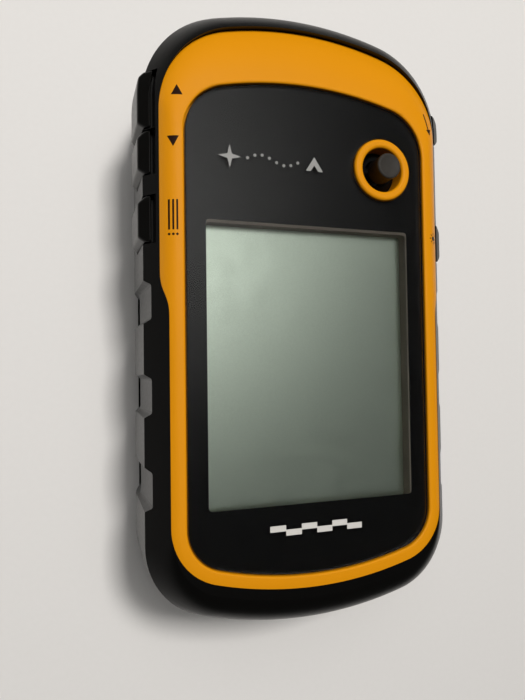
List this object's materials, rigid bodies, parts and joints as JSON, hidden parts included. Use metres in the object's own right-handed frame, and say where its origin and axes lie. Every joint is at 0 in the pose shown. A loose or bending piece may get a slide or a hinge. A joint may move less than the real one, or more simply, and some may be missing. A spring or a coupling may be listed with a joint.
{
  "type": "handheld gps unit",
  "caption": "Rugged handheld navigator: domed amber bezel, black window with a small display, thumb stick, rubber side keys and grips, battery cover with lanyard ring.",
  "frame": {"origin": "under the middle of the case, at the lowest point of the back, with the unit lying on its back", "axes": "+Z out of the display, +Y towards the antenna end, +X towards the thumb stick's side"},
  "size_m": [0.0564, 0.1038, 0.0332],
  "materials": {
    "amber_shell": "satin moulded amber plastic",
    "clear_lens": "polished clear window",
    "black_print": "black screen print behind the window",
    "adhesive": "black adhesive sheet",
    "grey_foam": "dark grey foam",
    "display_film": "grey-green display film with fine grain",
    "display_glass": "display glass",
    "light_guide": "white light guide",
    "display_frame": "pale grey carrier",
    "flex": "amber polyimide flex",
    "belt_rubber": "matt black overmoulded rubber",
    "key_rubber": "matt black rubber",
    "boot_rubber": "black rubber",
    "cap_rubber": "matt black rubber",
    "seal_rubber": "grey seal rubber",
    "board": "green solder mask",
    "chip_black": "moulded chip black",
    "tin_plate": "tin plated shield",
    "ceramic": "sintered ceramic with a silver electrode",
    "cell_steel": "bright steel coin cell",
    "connector_plastic": "ivory connector",
    "switch_body": "black switch body",
    "plunger_plastic": "ivory plunger",
    "black_shell": "fine textured black plastic",
    "cover_shell": "fine textured black plastic",
    "screw_steel": "zinc plated screw",
    "cell_sleeve": "printed cell sleeve with bright ends",
    "contact_nickel": "nickel plated contact",
    "stick_metal": "turned steel",
    "stick_plastic": "charcoal stick cap",
    "socket_steel": "plated socket shell",
    "lock_metal": "glass filled black plastic",
    "lock_steel": "stamped steel",
    "ring_steel": "bent stainless wire"
  },
  "bodies": {
    "root": {"backup_cell": "cell_steel", "battery_bridge": "contact_nickel", "battery_contacts": "contact_nickel", "battery_left": "cell_sleeve", "battery_right": "cell_sleeve", "battery_springs": "contact_nickel", "beeper": "chip_black", "board_chips": "chip_black", "cover_gasket": "seal_rubber", "display_backlight": "light_guide", "display_flex": "flex", "display_frame": "display_frame", "display_gasket": "grey_foam", "display_glass": "display_glass", "display_lens": "clear_lens", "display_polarizer": "display_film", "five_way_switch": "switch_body", "flex_connector": "connector_plastic", "front_bezel": "amber_shell", "gps_antenna": "ceramic", "housing_gasket": "seal_rubber", "housing_screws": "screw_steel", "lens_adhesive": "adhesive", "lens_mask": "black_print", "main_board": "board", "rear_housing": "black_shell", "rubber_belt": "belt_rubber", "shield_can": "tin_plate", "side_switches": "switch_body", "stick_boot": "boot_rubber", "usb_board": "board", "usb_flex": "flex", "usb_socket": "socket_steel"},
    "zoom_in": {"zoom_in_key": "key_rubber", "zoom_in_plunger": "plunger_plastic"},
    "zoom_out": {"zoom_out_key": "key_rubber", "zoom_out_plunger": "plunger_plastic"},
    "menu": {"menu_key": "key_rubber", "menu_plunger": "plunger_plastic"},
    "back": {"back_key": "key_rubber", "back_plunger": "plunger_plastic"},
    "light": {"light_key": "key_rubber", "light_plunger": "plunger_plastic"},
    "stick_gimbal": {"stick_gimbal": "stick_metal"},
    "stick_rocker": {"stick_rocker": "stick_metal"},
    "stick": {"stick_stem": "stick_metal", "stick_cap": "stick_plastic"},
    "cover": {"battery_cover": "cover_shell"},
    "lock": {"lock_barrel": "lock_metal", "lock_bar": "lock_steel", "lock_oring": "seal_rubber", "lock_clip": "lock_steel"},
    "d_ring": {"d_ring": "ring_steel"},
    "weather_cap": {"weather_cap": "cap_rubber"}
  },
  "joints": [
    {"name": "zoom_in_press", "type": "slide", "parent": "root", "child": "zoom_in", "axis": [1, 0, 0], "range_m": [0, 0.0005], "stiffness_N_per_m": 3000},
    {"name": "zoom_out_press", "type": "slide", "parent": "root", "child": "zoom_out", "axis": [1, 0, 0], "range_m": [0, 0.0005], "stiffness_N_per_m": 3000},
    {"name": "menu_press", "type": "slide", "parent": "root", "child": "menu", "axis": [1, 0, 0], "range_m": [0, 0.0005], "stiffness_N_per_m": 3000},
    {"name": "back_press", "type": "slide", "parent": "root", "child": "back", "axis": [-1, 0, 0], "range_m": [0, 0.0005], "stiffness_N_per_m": 3000},
    {"name": "light_press", "type": "slide", "parent": "root", "child": "light", "axis": [-1, 0, 0], "range_m": [0, 0.0005], "stiffness_N_per_m": 3000},
    {"name": "stick_tilt_x", "type": "hinge", "parent": "root", "child": "stick_gimbal", "pos_m": [0.0135, 0.0251, 0.0254], "axis": [1, 0, 0], "range_deg": [-7, 7], "stiffness_Nm_per_rad": 0.04},
    {"name": "stick_tilt_y", "type": "hinge", "parent": "stick_gimbal", "child": "stick_rocker", "pos_m": [0.0135, 0.0251, 0.0254], "axis": [0, 1, 0], "range_deg": [-7, 7], "stiffness_Nm_per_rad": 0.04},
    {"name": "stick_press", "type": "slide", "parent": "stick_rocker", "child": "stick", "axis": [0, 0, -1], "range_m": [0, 0.0003], "stiffness_N_per_m": 4000},
    {"name": "cover_lift", "type": "slide", "parent": "root", "child": "cover", "axis": [0, 0, -1], "range_m": [0, 0.035]},
    {"name": "lock_turn", "type": "hinge", "parent": "cover", "child": "lock", "pos_m": [0, -0.0382, 0.0017], "axis": [0, 0, 1], "range_deg": [0, 90]},
    {"name": "ring_flip", "type": "hinge", "parent": "lock", "child": "d_ring", "pos_m": [0, -0.035, 0.0015], "axis": [1, 0, 0], "range_deg": [0, 95]},
    {"name": "cap_open", "type": "hinge", "parent": "root", "child": "weather_cap", "pos_m": [0, 0.0428, 0.0018], "axis": [1, 0, 0], "range_deg": [0, 100]}
  ]
}
